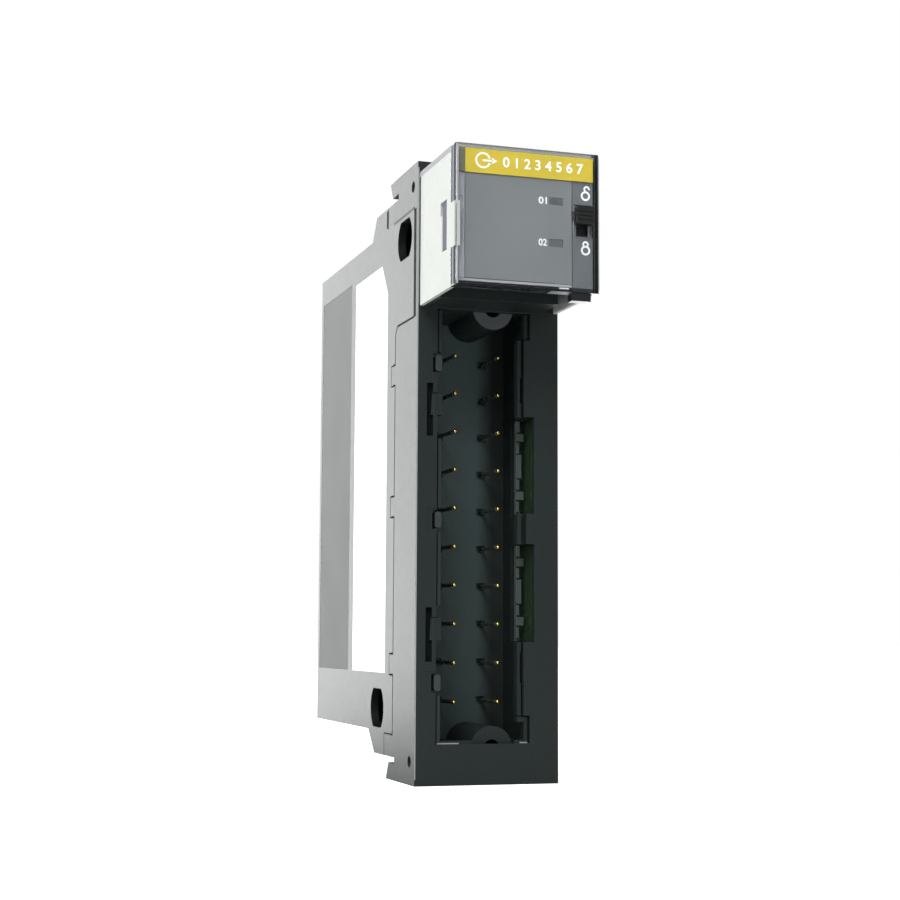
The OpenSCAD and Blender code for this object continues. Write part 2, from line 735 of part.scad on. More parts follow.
// Small transformers: a core around a winding
module transformers() {
    color("#b58a3c") at_datum() for (z = [26, 44, 62]) translate([board_x, 44, z]) {
        block([-8, -6.5, -5.5], [0, 6.5, -3]);
        block([-8, -6.5, 3], [0, 6.5, 5.5]);
        block([-6.8, -5, -3.1], [-1.2, 5, 3.1]);
    }
}

module capacitors() {
    color("#3b4a86") at_datum() for (z = [84, 97, 110], y = [38, 50])
        bar_x(board_x - 12, board_x, y, z, 4);
}

module logic_chips() {
    color("#1b1c1e") at_datum() {
        block([board_x - 1.6, 60, 62], [board_x, 78, 80]);
        block([board_x - 1.6, 60, 40], [board_x, 74, 54]);
        for (z = [20, 28]) block([board_x - 1.8, 60, z - 2.6], [board_x, 72, z + 2.6]);
    }
}

module output_drivers() {
    color("#232527") at_datum() for (z = [28, 42, 56, 70])
        block([board_x - 2.2, 31.5, z - 4.8], [board_x, 35.5, z + 4.8]);
}

front_bezel();
main_case();
side_cover();
side_label();
rating_label();
top_latch();
bottom_latch();
latch_pins();
top_latch_spring();
bottom_latch_spring();
status_housing();
clear_cover();
legend_panel();
type_strip();
slide_guide();
locking_slide();
light_pipes();
status_board();
status_leds();
status_ribbon();
terminal_header();
contact_pins();
solder_tails();
coding_rack();
coding_keys();
main_board();
board_screws();
backplane_plug();
backplane_contacts();
power_converter();
transformers();
capacitors();
logic_chips();
output_drivers();
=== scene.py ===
"""Looks for the rack-mounted control module: materials, softened edges, printed marks and studio."""
import json
import math

import bmesh
import bpy
from mathutils import Matrix, Vector


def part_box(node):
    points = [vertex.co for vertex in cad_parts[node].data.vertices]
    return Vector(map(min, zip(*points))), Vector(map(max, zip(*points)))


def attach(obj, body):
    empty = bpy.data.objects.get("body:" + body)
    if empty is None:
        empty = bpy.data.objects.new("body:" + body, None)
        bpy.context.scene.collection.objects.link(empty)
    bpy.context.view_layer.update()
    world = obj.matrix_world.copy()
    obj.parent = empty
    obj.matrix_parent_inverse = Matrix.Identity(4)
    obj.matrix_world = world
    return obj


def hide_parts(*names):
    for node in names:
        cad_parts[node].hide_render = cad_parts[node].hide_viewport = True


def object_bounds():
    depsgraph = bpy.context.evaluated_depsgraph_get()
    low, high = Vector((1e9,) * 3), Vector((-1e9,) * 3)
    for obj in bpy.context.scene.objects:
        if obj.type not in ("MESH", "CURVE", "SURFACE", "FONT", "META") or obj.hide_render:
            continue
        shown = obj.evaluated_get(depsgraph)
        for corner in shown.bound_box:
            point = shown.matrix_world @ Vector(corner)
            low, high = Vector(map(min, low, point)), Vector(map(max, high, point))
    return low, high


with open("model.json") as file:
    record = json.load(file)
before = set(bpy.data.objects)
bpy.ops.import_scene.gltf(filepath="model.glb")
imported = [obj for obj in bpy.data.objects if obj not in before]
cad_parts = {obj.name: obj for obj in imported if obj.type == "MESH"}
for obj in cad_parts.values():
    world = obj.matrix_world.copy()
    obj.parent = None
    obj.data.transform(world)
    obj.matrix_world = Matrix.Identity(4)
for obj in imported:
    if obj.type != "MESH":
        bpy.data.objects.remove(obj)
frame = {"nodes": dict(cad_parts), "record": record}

CAD_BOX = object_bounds()
MM = 0.001


def corners(node):
    """Lowest and highest corner of a CAD node, in millimetres."""
    low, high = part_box(node)
    return low / MM, high / MM


# Depth of the module's front face and height of its foot. The side label starts 25.5 mm behind the face.
FACE_Y = corners("side_label")[0][1] - 25.5
FOOT_Z = corners("front_bezel")[0][2]

# ---------------------------------------------------------------- camera
CAMERA_PLACE = Vector((-131.4, -485.6, -38.0)) * MM
CAMERA_YAW = math.radians(17.716)
CAMERA_PITCH = math.radians(6.04)
CAMERA_ROLL = math.radians(-0.289)
CAMERA_LENS = 69.44
SENSOR_WIDTH = 36
CLIP_START = 0.01


def make_camera():
    """A camera below the middle of the module, in front and to the left."""
    forward = Vector((math.sin(CAMERA_YAW) * math.cos(CAMERA_PITCH),
                      math.cos(CAMERA_YAW) * math.cos(CAMERA_PITCH), math.sin(CAMERA_PITCH)))
    right = Vector((math.cos(CAMERA_YAW), -math.sin(CAMERA_YAW), 0))
    down = forward.cross(right)
    across = math.cos(CAMERA_ROLL) * right + math.sin(CAMERA_ROLL) * down
    up = math.sin(CAMERA_ROLL) * right - math.cos(CAMERA_ROLL) * down
    camera = bpy.data.objects.new("camera", bpy.data.cameras.new("camera"))
    camera.data.lens = CAMERA_LENS
    camera.data.sensor_width = SENSOR_WIDTH
    camera.data.clip_start = CLIP_START
    turn = Matrix((across, up, -forward)).transposed()
    camera.matrix_world = Matrix.Translation(CAMERA_PLACE) @ turn.to_4x4()
    bpy.context.scene.collection.objects.link(camera)
    bpy.context.scene.camera = camera


# ---------------------------------------------------------------- studio
# Half the floor's side and the point that the lights are aimed at, in metres
FLOOR_REACH = 4.0
LIT_POINT = (0, -0.05, 0)
FILL_STRENGTH = 0.26


def area_light(name, place, size, power, colour=(1, 1, 1)):
    """A rectangular soft light at place, aimed at the object, with its power in watts."""
    data = bpy.data.lights.new(name, "AREA")
    data.shape = "RECTANGLE"
    data.size, data.size_y = size
    data.energy = power
    data.color = colour
    light = bpy.data.objects.new(name, data)
    light.location = place
    light.rotation_euler = (Vector(LIT_POINT) - Vector(place)).to_track_quat("-Z", "Y").to_euler()
    bpy.context.scene.collection.objects.link(light)


def make_world():
    """White behind the object, and a dimmer soft light all round."""
    world = bpy.data.worlds.new("studio")
    bpy.context.scene.world = world
    world.use_nodes = True
    tree = world.node_tree
    tree.nodes.clear()
    seen = tree.nodes.new("ShaderNodeBackground")
    seen.inputs["Color"].default_value = (1, 1, 1, 1)
    lit = tree.nodes.new("ShaderNodeBackground")
    lit.inputs["Color"].default_value = (0.95, 0.98, 1, 1)
    lit.inputs["Strength"].default_value = FILL_STRENGTH
    path = tree.nodes.new("ShaderNodeLightPath")
    mix = tree.nodes.new("ShaderNodeMixShader")
    out = tree.nodes.new("ShaderNodeOutputWorld")
    tree.links.new(path.outputs["Is Camera Ray"], mix.inputs[0])
    tree.links.new(lit.outputs[0], mix.inputs[1])
    tree.links.new(seen.outputs[0], mix.inputs[2])
    tree.links.new(mix.outputs[0], out.inputs["Surface"])


def make_studio():
    """The world, a paper floor under the module, and five soft lights."""
    make_world()
    bpy.context.scene.view_settings.view_transform = "Standard"
    low = CAD_BOX[0][2]
    floor_mesh = bpy.data.meshes.new("floor")
    turns = ((-1, -1), (1, -1), (1, 1), (-1, 1))
    floor_mesh.from_pydata([(x * FLOOR_REACH, y * FLOOR_REACH, low) for x, y in turns], [], [(0, 1, 2, 3)])
    floor = bpy.data.objects.new("floor", floor_mesh)
    bpy.context.scene.collection.objects.link(floor)
    floor.data.materials.append(MATERIALS["floor"])
    area_light("rear_left_panel", (-0.40, 1.12, 0.18), (1.0, 1.6), 19.6, (0.98, 1, 0.98))
    area_light("left_fill", (-1.0, -0.25, 0.15), (0.8, 0.8), 6)
    area_light("front_softbox", (-0.5, -0.85, 0.75), (0.6, 0.5), 9)
    area_light("top_softbox", (0.1, -0.2, 1.0), (0.9, 0.9), 3)
    area_light("right_fill", (0.8, -0.5, 0.3), (0.6, 0.8), 0.5)


# ---------------------------------------------------------------- materials
MATERIALS = {}


class Shader:
    """A material under construction: a Principled shader and short ways to add nodes to it."""

    def __init__(self, name):
        self.material = bpy.data.materials.new(name)
        self.material.use_nodes = True
        self.tree = self.material.node_tree
        self.main = self.tree.nodes["Principled BSDF"]
        self.coords = self.add("ShaderNodeTexCoord").outputs["Object"]
        MATERIALS[name] = self.material

    def add(self, kind, **values):
        """A new node of this kind, with its own properties set."""
        node = self.tree.nodes.new(kind)
        for key, value in values.items():
            setattr(node, key, value)
        return node

    def link(self, source, target):
        self.tree.links.new(source, target)

    def noise(self, scale, detail=2.0, roughness=0.5, stretch=None):
        """Noise with scale features a metre; stretch multiplies the three axes."""
        node = self.add("ShaderNodeTexNoise")
        node.inputs["Scale"].default_value = scale
        node.inputs["Detail"].default_value = detail
        node.inputs["Roughness"].default_value = roughness
        vector = self.coords
        if stretch:
            mapping = self.add("ShaderNodeMapping")
            mapping.inputs["Scale"].default_value = stretch
            self.link(vector, mapping.inputs["Vector"])
            vector = mapping.outputs["Vector"]
        self.link(vector, node.inputs["Vector"])
        return node.outputs["Fac"]

    def spread(self, value, low, high, from_low=0.3, from_high=0.7):
        """The value's range from_low..from_high stretched over low..high, and held at its ends."""
        node = self.add("ShaderNodeMapRange")
        self.link(value, node.inputs["Value"])
        node.inputs["From Min"].default_value = from_low
        node.inputs["From Max"].default_value = from_high
        node.inputs["To Min"].default_value = low
        node.inputs["To Max"].default_value = high
        return node.outputs["Result"]

    def mix(self, factor, first, second):
        """Two colours, or colour outputs, mixed by a value output or a number."""
        node = self.add("ShaderNodeMix", data_type="RGBA")
        for socket, value in (("Factor", factor), ("A", first), ("B", second)):
            kind = "VALUE" if socket == "Factor" else "RGBA"
            target = [i for i in node.inputs if i.name == socket and i.type == kind][0]
            if isinstance(value, bpy.types.NodeSocket):
                self.link(value, target)
            elif isinstance(value, tuple):
                target.default_value = (*value, 1)
            else:
                target.default_value = value
        return [o for o in node.outputs if o.type == "RGBA"][0]

    def axis(self, name):
        """One coordinate of the point, in metres in the shared frame."""
        if not hasattr(self, "split"):
            self.split = self.add("ShaderNodeSeparateXYZ")
            self.link(self.coords, self.split.inputs[0])
        return self.split.outputs[name]

    def maths(self, operation, first, second):
        """A math node on two value outputs or numbers."""
        node = self.add("ShaderNodeMath", operation=operation)
        for i, value in enumerate((first, second)):
            if isinstance(value, bpy.types.NodeSocket):
                self.link(value, node.inputs[i])
            else:
                node.inputs[i].default_value = value
        return node.outputs[0]

    def edges(self, radius):
        """1 near the object's edges and 0 elsewhere."""
        bevel = self.add("ShaderNodeBevel", samples=4)
        bevel.inputs["Radius"].default_value = radius
        flat = self.add("ShaderNodeNewGeometry").outputs["Normal"]
        dot = self.add("ShaderNodeVectorMath", operation="DOT_PRODUCT")
        self.link(bevel.outputs[0], dot.inputs[0])
        self.link(flat, dot.inputs[1])
        return self.spread(dot.outputs["Value"], 1.0, 0.0, 0.8, 0.995)

    def between(self, axis, low, high):
        """1 where the coordinate is between low and high, in millimetres, and 0 elsewhere."""
        return self.maths("MULTIPLY", self.maths("GREATER_THAN", self.axis(axis), low * MM),
                          self.maths("LESS_THAN", self.axis(axis), high * MM))

    def bump(self, height, distance):
        """Surface relief from a height output, with its full depth in metres."""
        node = self.add("ShaderNodeBump")
        node.inputs["Distance"].default_value = distance
        node.inputs["Strength"].default_value = 1.0
        self.link(height, node.inputs["Height"])
        self.link(node.outputs["Normal"], self.main.inputs["Normal"])

    def set(self, socket, value):
        self.main.inputs[socket].default_value = value

    def paint(self, colour, roughness):
        """Links the base colour and the roughness."""
        self.link(colour, self.main.inputs["Base Color"])
        self.link(roughness, self.main.inputs["Roughness"])


def lighter(colour, by):
    """The colour times a factor, kept below white."""
    return tuple(min(1.0, c * by) for c in colour)


# The side plates: places (y, z) of the two flatted holes from the face and the foot, the half size of the
# painted shade zone round them, and the depth behind the face within which the seams lie, all in
# millimetres.
SIDE_HOLES = ((10.8, 128.5), (32.2, 16.4))
HOLE_REACH = 6.1
SEAM_DEPTHS = (1.5, 20.5)
# Colours of the painted shade in the seams and on the holes' walls
SEAM_SHADE = (0.001, 0.001, 0.001)
HOLE_SHADE = (0.003, 0.0055, 0.0045)


def shade_seams_and_holes(s, base, roughness, rough):
    """Painted shade: dark, matt edges beside the seams of the side plates, and dark walls in their flatted
    holes where shade falls.
    """
    half_width = CAD_BOX[1][0] / MM
    from_middle = s.maths("ABSOLUTE", s.axis("X"), 0.0)
    outside = s.maths("GREATER_THAN", from_middle, (half_width - 0.4) * MM)
    behind = s.between("Y", FACE_Y + SEAM_DEPTHS[0], FACE_Y + SEAM_DEPTHS[1])
    seam = s.maths("MULTIPLY", s.maths("MULTIPLY", outside, behind), s.edges(0.45 * MM))
    base = s.mix(seam, base, SEAM_SHADE)
    inside = s.maths("LESS_THAN", from_middle, (half_width - 0.15) * MM)
    for y, z in SIDE_HOLES:
        near_y = s.between("Y", FACE_Y + y - HOLE_REACH, FACE_Y + y + HOLE_REACH)
        near_z = s.between("Z", FOOT_Z + z - HOLE_REACH, FOOT_Z + z + HOLE_REACH)
        near = s.maths("MULTIPLY", near_y, near_z)
        base = s.mix(s.maths("MULTIPLY", inside, near), base, HOLE_SHADE)
    return base, s.maths("ADD", roughness, s.maths("MULTIPLY", seam, 1.0 - rough))


def moulded(name, colour, rough=0.5, grain=2600, depth=0.03, mottle=0.12, worn=1.3, specular=0.5,
            uneven=0.055, seam_hole_shade=False):
    """Injection moulded plastic: a fine spark-eroded grain, faint flow mottling and rubbed edges."""
    s = Shader(name)
    grit = s.noise(grain, 2.0, 0.6)
    flow = s.noise(38, 3.0, 0.55)
    base = s.mix(s.spread(flow, 0, 1), lighter(colour, 1 - mottle), lighter(colour, 1 + mottle))
    base = s.mix(s.spread(grit, 0, 0.35), base, lighter(colour, 1.25))
    base = s.mix(s.maths("MULTIPLY", s.edges(0.35 * MM), 0.6), base, lighter(colour, worn))
    roughness = s.spread(s.noise(420, 2.0), rough - uneven, rough + uneven)
    # Painted shade in the side plates' seams and on their holes' walls
    if seam_hole_shade:
        base, roughness = shade_seams_and_holes(s, base, roughness, rough)
    s.paint(base, roughness)
    s.bump(grit, depth * MM)
    s.set("Specular IOR Level", specular)
    return s


def well_floor(name):
    """The well's floor: painted light makes it paler towards the top, and painted shade darkens it in the
    shade of the right wall.
    """
    s = moulded(name, (0.056, 0.083, 0.082), rough=0.5, worn=1.6, mottle=0.08, specular=0.4)
    base = s.main.inputs["Base Color"]
    # Painted light on the upper floor, then painted shade beside the right wall
    painted_light_ramp = s.spread(s.axis("Z"), 0.0, 1.0, -18 * MM, 10 * MM)
    painted_lit_base = s.mix(painted_light_ramp, base.links[0].from_socket, (0.098, 0.142, 0.14))
    painted_shade_ramp = s.spread(s.axis("X"), 0.0, 1.0, 4.6 * MM, 8.4 * MM)
    s.link(s.mix(painted_shade_ramp, painted_lit_base, (0.0155, 0.0215, 0.02)), base)


def printed_film(name, colour, rough=0.55, specular=0.5):
    """Flat printed plastic film with a faint print grain."""
    s = Shader(name)
    dots = s.noise(5200, 1.0, 0.5)
    cloud = s.noise(60, 2.0)
    base = s.mix(s.spread(cloud, 0, 1), lighter(colour, 0.95), lighter(colour, 1.05))
    base = s.mix(s.spread(dots, 0, 0.3), base, lighter(colour, 1.12))
    s.paint(base, s.spread(cloud, rough - 0.04, rough + 0.05))
    s.bump(dots, 0.004 * MM)
    s.set("Specular IOR Level", specular)


def metal(name, colour, rough, brushed=(1, 1, 1)):
    """Plated or brushed metal with fine lines or a faint orange-peel surface."""
    s = Shader(name)
    lines = s.noise(900, 2.0, 0.6, stretch=brushed)
    base = s.mix(s.spread(lines, 0, 1), lighter(colour, 0.88), lighter(colour, 1.08))
    s.paint(base, s.spread(lines, rough - 0.07, rough + 0.1))
    s.bump(lines, 0.004 * MM)
    s.set("Metallic", 1.0)
    return s


def plated_pin(name):
    """Gold plating at the tips of the contact pins, with painted shade that darkens their shafts towards
    black.
    """
    s = metal(name, (1.0, 0.76, 0.2), 0.2)
    base = s.main.inputs["Base Color"]
    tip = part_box("contact_pins")[0].y
    # Painted shade: behind the tips the shafts turn dark and lose their metal
    shaft = s.spread(s.axis("Y"), 0.0, 1.0, tip + 0.9 * MM, tip + 1.4 * MM)
    s.link(s.mix(shaft, base.links[0].from_socket, (0.019, 0.025, 0.021)), base)
    s.link(s.maths("SUBTRACT", 1.0, shaft), s.main.inputs["Metallic"])


def clear_plastic(name, colour=(0.97, 0.985, 0.99), rough=0.03, clear=1.0, painted_wall_shade=False):
    """Clear polycarbonate with faint scuffs. Light passes through it without a shadow.

    With the wall shade on, painted shade darkens the rims, the top and bottom walls and the right wall,
    which are seen through their length.
    """
    s = Shader(name)
    scuffs = s.noise(320, 4.0, 0.65)
    base = s.mix(s.spread(s.noise(25), 0, 1), lighter(colour, 0.99), colour)
    if painted_wall_shade:
        # Painted shade on the rims, the top, the foot and the right wall
        low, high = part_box("clear_cover")
        right_part = s.spread(s.axis("X"), 0.0, 0.9, low[0] + 0.8 * MM, low[0] + 1.0 * MM)
        base = s.mix(s.maths("MULTIPLY", s.edges(0.14 * MM), right_part), base, (0.05, 0.055, 0.07))
        top = s.spread(s.axis("Z"), 0.0, 0.85, high[2] - 0.9 * MM, high[2] - 0.7 * MM)
        base = s.mix(top, base, (0.6, 0.6, 0.61))
        foot = s.spread(s.axis("Z"), 0.9, 0.0, low[2] + 1.0 * MM, low[2] + 1.1 * MM)
        base = s.mix(foot, base, (0.12, 0.13, 0.15))
        right = s.spread(s.axis("X"), 0.0, 1.0, high[0] - 1.15 * MM, high[0] - 1.0 * MM)
        base = s.mix(right, base, (0.025, 0.03, 0.028))
    s.paint(base, s.spread(scuffs, rough, rough + 0.06, 0.45, 0.8))
    s.bump(s.noise(45, 1.0), 0.01 * MM)
    s.set("Transmission Weight", clear)
    s.set("IOR", 1.5)
    path = s.add("ShaderNodeLightPath")
    open_way = s.add("ShaderNodeBsdfTransparent")
    open_way.inputs["Color"].default_value = (*colour, 1)
    mix = s.add("ShaderNodeMixShader")
    s.link(path.outputs["Is Shadow Ray"], mix.inputs[0])
    s.link(s.main.outputs["BSDF"], mix.inputs[1])
    s.link(open_way.outputs[0], mix.inputs[2])
    out = [n for n in s.tree.nodes if n.type == "OUTPUT_MATERIAL"][0]
    s.link(mix.outputs[0], out.inputs["Surface"])


def circuit_board(name):
    """Green solder mask over copper tracks: a woven board with paler track shapes under the mask."""
    s = Shader(name)
    tracks = s.add("ShaderNodeTexBrick", offset=0.5)
    tracks.inputs["Scale"].default_value = 300
    tracks.inputs["Mortar Size"].default_value = 0.012
    tracks.inputs["Color1"].default_value = (0, 0, 0, 1)
    tracks.inputs["Color2"].default_value = (0.4, 0.4, 0.4, 1)
    tracks.inputs["Mortar"].default_value = (1, 1, 1, 1)
    turn = s.add("ShaderNodeMapping")
    turn.inputs["Rotation"].default_value = (0, math.radians(90), 0)
    s.link(s.coords, turn.inputs["Vector"])
    s.link(turn.outputs["Vector"], tracks.inputs["Vector"])
    line = tracks.outputs["Color"]
    base = s.mix(line, (0.012, 0.03, 0.012), (0.03, 0.07, 0.025))
    base = s.mix(s.spread(s.noise(900), 0, 0.4), base, (0.02, 0.045, 0.018))
    s.paint(base, s.spread(s.noise(200), 0.25, 0.4))
    s.bump(line, 0.03 * MM)


def floor_paper(name):
    """Pale paper that fades into the white behind the object, and glows in reflections towards the back."""
    s = Shader(name)
    fibre = s.noise(900, 3.0)
    s.paint(s.mix(s.spread(fibre, 0, 1), (0.62, 0.62, 0.62), (0.66, 0.66, 0.66)), s.spread(fibre, 0.75, 0.9))
    s.bump(fibre, 0.02 * MM)
    path = s.add("ShaderNodeLightPath")
    seen = s.maths("MULTIPLY", path.outputs["Is Camera Ray"], 1.0)
    behind = s.spread(s.axis("Y"), 0.0, 3.3, 0.0, 0.12)
    mirrored = s.maths("MULTIPLY", path.outputs["Is Glossy Ray"], behind)
    s.link(s.maths("ADD", seen, mirrored), s.main.inputs["Emission Strength"])
    s.set("Emission Color", (1, 1, 1, 1))


def make_materials():
    """Every material, in the colours and finishes of its pieces."""
    floor_paper("floor")
    case = {"rough": 0.44, "depth": 0.05, "specular": 0.4, "uneven": 0.01, "seam_hole_shade": True}
    moulded("charcoal", (0.0118, 0.0182, 0.0172), worn=1.8, mottle=0.06, **case)
    moulded("side_plastic", (0.03, 0.036, 0.032), grain=1900, mottle=0.04, **case)
    well_floor("well_floor")
    moulded("black_plastic", (0.012, 0.014, 0.014), rough=0.42, worn=2.2)
    moulded("slide_black", (0.012, 0.014, 0.014), rough=0.32, grain=1500, depth=0.008, mottle=0.05, worn=2.0)
    moulded("coding_plastic", (0.075, 0.094, 0.09), rough=0.4)
    moulded("key_plastic", (0.034, 0.042, 0.046), rough=0.4)
    # Painted shade in the margin slots and along the left side's seams
    moulded("shade_dark", (0.005, 0.0085, 0.007), rough=0.8, specular=0.1)
    # Painted light on the rim of the upper guide post
    moulded("post_rim_light", (0.072, 0.084, 0.088))
    # Painted light on the faces of the coding lips
    moulded("lip_lit_grey", (0.022, 0.03, 0.0295), rough=0.44, specular=0.4)
    moulded("white_plastic", (0.5, 0.515, 0.49), rough=0.55, depth=0.012, mottle=0.02, worn=1.05,
            specular=0.15)
    moulded("cream_plastic", (0.62, 0.58, 0.47), rough=0.45, depth=0.01, mottle=0.04, worn=1.05)
    moulded("guide_grey", (0.116, 0.126, 0.136), depth=0.006, mottle=0.04)
    moulded("clip_grey", (0.16, 0.158, 0.19), rough=0.85, depth=0.006, mottle=0.04, worn=1.1, specular=0.05)
    moulded("ferrite", (0.05, 0.045, 0.04), rough=0.6, depth=0.05)
    moulded("chip_black", (0.015, 0.016, 0.017), rough=0.55, depth=0.01)
    printed_film("panel_film", (0.178, 0.186, 0.194))
    printed_film("yellow_film", (0.62, 0.465, 0.022))
    printed_film("taupe_film", (0.15, 0.14, 0.09))
    printed_film("margin_grey", (0.33, 0.34, 0.37))
    # Painted highlights along edges, corners and lips
    printed_film("highlight_grey", (0.38, 0.38, 0.39))
    # Dark lines: the clear cover's joint, and painted shade along its corner
    printed_film("joint_and_edge_shade", (0.075, 0.08, 0.105), 0.85, specular=0.05)
    # Painted reflection on the clear cover's side wall
    printed_film("wall_sheen", (0.27, 0.275, 0.3), 0.85, specular=0.05)
    printed_film("top_edge_grey", (0.385, 0.39, 0.41), 0.85, specular=0.05)
    printed_film("white_ink", (0.95, 0.95, 0.93), 0.5)
    printed_film("white_film", (0.92, 0.92, 0.92), 0.4)
    printed_film("grey_film", (0.16, 0.169, 0.164), 0.8)
    printed_film("capacitor_sleeve", (0.02, 0.035, 0.12), 0.3)
    printed_film("led_white", (0.8, 0.83, 0.72), 0.3)
    printed_film("flat_cable", (0.6, 0.57, 0.47), 0.4)
    clear_plastic("clear", painted_wall_shade=True)
    clear_plastic("light_pipe", (0.13, 0.145, 0.155), 0.3, clear=0.25)
    metal("gold", (0.95, 0.62, 0.2), 0.2)
    plated_pin("pin_gold")
    metal("tin", (0.75, 0.73, 0.68), 0.3)
    metal("steel", (0.58, 0.58, 0.59), 0.3, brushed=(0.1, 1, 1))
    circuit_board("board")


# ---------------------------------------------------------------- rounding
# Edges sharper than the first angle are rounded. In a copy of a CAD node, faces that meet at less than the
# second angle and vertices within the reach, in millimetres, are joined first.
SHARP_ANGLE = math.radians(30)
FLAT_ANGLE = math.radians(1)
WELD_REACH = 0.004


def round_edges(piece, width):
    """Rounds the piece's sharp edges by width, in millimetres, and keeps the result as its mesh."""
    piece.data.shade_smooth()
    bevel = piece.modifiers.new("edges", "BEVEL")
    bevel.width = width * MM
    bevel.segments = 2
    bevel.limit_method = "ANGLE"
    bevel.angle_limit = SHARP_ANGLE
    bevel.harden_normals = True
    bpy.context.view_layer.update()
    done = bpy.data.meshes.new_from_object(piece.evaluated_get(bpy.context.evaluated_depsgraph_get()))
    piece.modifiers.clear()
    piece.data = done


# ---------------------------------------------------------------- CAD pieces with softened edges
def softened(node, material, width, merge):
    """A copy of a CAD node whose sharp edges are rounded by width, in millimetres. It stands for the node.

    merge joins the flat triangles of the copy before its edges are rounded.
    """
    mesh = frame["nodes"][node].data.copy()
    mesh.materials.clear()
    piece = bpy.data.objects.new(f"{node}_shell", mesh)
    bpy.context.scene.collection.objects.link(piece)
    edit = bmesh.new()
    edit.from_mesh(mesh)
    bmesh.ops.remove_doubles(edit, verts=edit.verts, dist=WELD_REACH * MM)
    if merge:
        bmesh.ops.dissolve_limit(edit, angle_limit=FLAT_ANGLE, verts=edit.verts, edges=edit.edges)
    edit.to_mesh(mesh)
    edit.free()
    for layer in list(mesh.attributes):
        if layer.name in ("sharp_edge", "custom_normal", "sharp_face"):
            mesh.attributes.remove(layer)
    mesh.materials.append(MATERIALS[material])
    round_edges(piece, width)
    body = next(b for b, names in frame["record"]["behaviour"]["bodies"].items() if node in names)
    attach(piece, body)
    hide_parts(node)


# Node, material, and the radius of its edges in millimetres
SOFT_EDGES = [
    ("front_bezel", "charcoal", 0.25),
    ("main_case", "charcoal", 0.3),
    ("side_cover", "side_plastic", 0.25),
    ("status_housing", "white_plastic", 0.2),
    ("locking_slide", "slide_black", 0.12),
    ("top_latch", "black_plastic", 0.15),
    ("bottom_latch", "black_plastic", 0.15),
    ("terminal_header", "well_floor", 0.1),
    ("coding_rack", "coding_plastic", 0.1),
    ("coding_keys", "key_plastic", 0.12),
    ("backplane_plug", "cream_plastic", 0.1),
    ("clear_cover", "clear", 0.06),
]

CAD_FINISHES = {
    "side_label": "white_film",
    "rating_label": "grey_film",
    "latch_pins": "steel",
    "top_latch_spring": "steel",
    "bottom_latch_spring": "steel",
    "legend_panel": "panel_film",
    "type_strip": "yellow_film",
    "slide_guide": "guide_grey",
    "light_pipes": "light_pipe",
    "status_board": "board",
    "status_leds": "led_white",
    "status_ribbon": "flat_cable",
    "contact_pins": "pin_gold",
    "solder_tails": "tin",
    "main_board": "board",
    "board_screws": "steel",
    "backplane_contacts": "gold",
    "power_converter": "chip_black",
    "transformers": "ferrite",
    "capacitors": "capacitor_sleeve",
    "logic_chips": "chip_black",
    "output_drivers": "chip_black",
}


def finish_cad_nodes():
    """Gives the CAD nodes that stay as they are their materials."""
    for node, material in CAD_FINISHES.items():
        data = frame["nodes"][node].data
        if not data.materials:
            data.materials.append(None)
        for i in range(len(data.materials)):
            frame["nodes"][node].material_slots[i].link = "OBJECT"
            frame["nodes"][node].material_slots[i].material = MATERIALS[material]


# ---------------------------------------------------------------- new pieces
def finish_piece(name, mesh, material, round_by=0.0):
    """Makes a mesh, in metres, into a piece that rides on the module."""
    piece = bpy.data.objects.new(name, mesh)
    bpy.context.scene.collection.objects.link(piece)
    if round_by:
        round_edges(piece, round_by)
    piece.data.materials.clear()
    piece.data.materials.append(MATERIALS[material])
    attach(piece, "module")


def extruded(loops, y0, y1):
    """A mesh of flat outlines, lists of (x, z) in millimetres, standing from y0 to y1."""
    edit = bmesh.new()
    for loop in loops:
        front = [edit.verts.new((x * MM, y0 * MM, z * MM)) for x, z in loop]
        back = [edit.verts.new((x * MM, y1 * MM, z * MM)) for x, z in loop]
        edit.faces.new(front)
        edit.faces.new(back[::-1])
        for i in range(len(loop)):
            j = (i + 1) % len(loop)
            edit.faces.new((front[j], front[i], back[i], back[j]))
    bmesh.ops.recalc_face_normals(edit, faces=edit.faces)
    mesh = bpy.data.meshes.new("outline")
    edit.to_mesh(mesh)
    edit.free()
    return mesh


def arc(centre, radius, start, end, steps=28):
    """Points on an arc, with angles in degrees."""
    turns = [math.radians(start + (end - start) * i / steps) for i in range(steps + 1)]
    return [(centre[0] + radius * math.cos(t), centre[1] + radius * math.sin(t)) for t in turns]


def rectangle(x0, x1, z0, z1):
    """The four corners of a rectangle."""
    return [(x0, z0), (x1, z0), (x1, z1), (x0, z1)]


def stroke(points, width):
    """One outline that follows a line of points, width wide."""
    left, right = [], []
    last = len(points) - 1
    for i, (x, z) in enumerate(points):
        before, after = points[max(i - 1, 0)], points[min(i + 1, last)]
        along = Vector((after[0] - before[0], after[1] - before[1])).normalized()
        left.append((x - along.y * width / 2, z + along.x * width / 2))
        right.append((x + along.y * width / 2, z - along.x * width / 2))
    return left + right[::-1]


# Thickness of the ink, how much bolder than the font it is, and the size that the digits are first drawn
# at, in millimetres
INK = 0.03
BOLDER = 0.062
DRAWN_SIZE = 3


def print_marks(name, loops, y, material="white_ink"):
    """Ink standing a little in front of a printed face at y."""
    finish_piece(name, extruded(loops, y - INK, y), material)


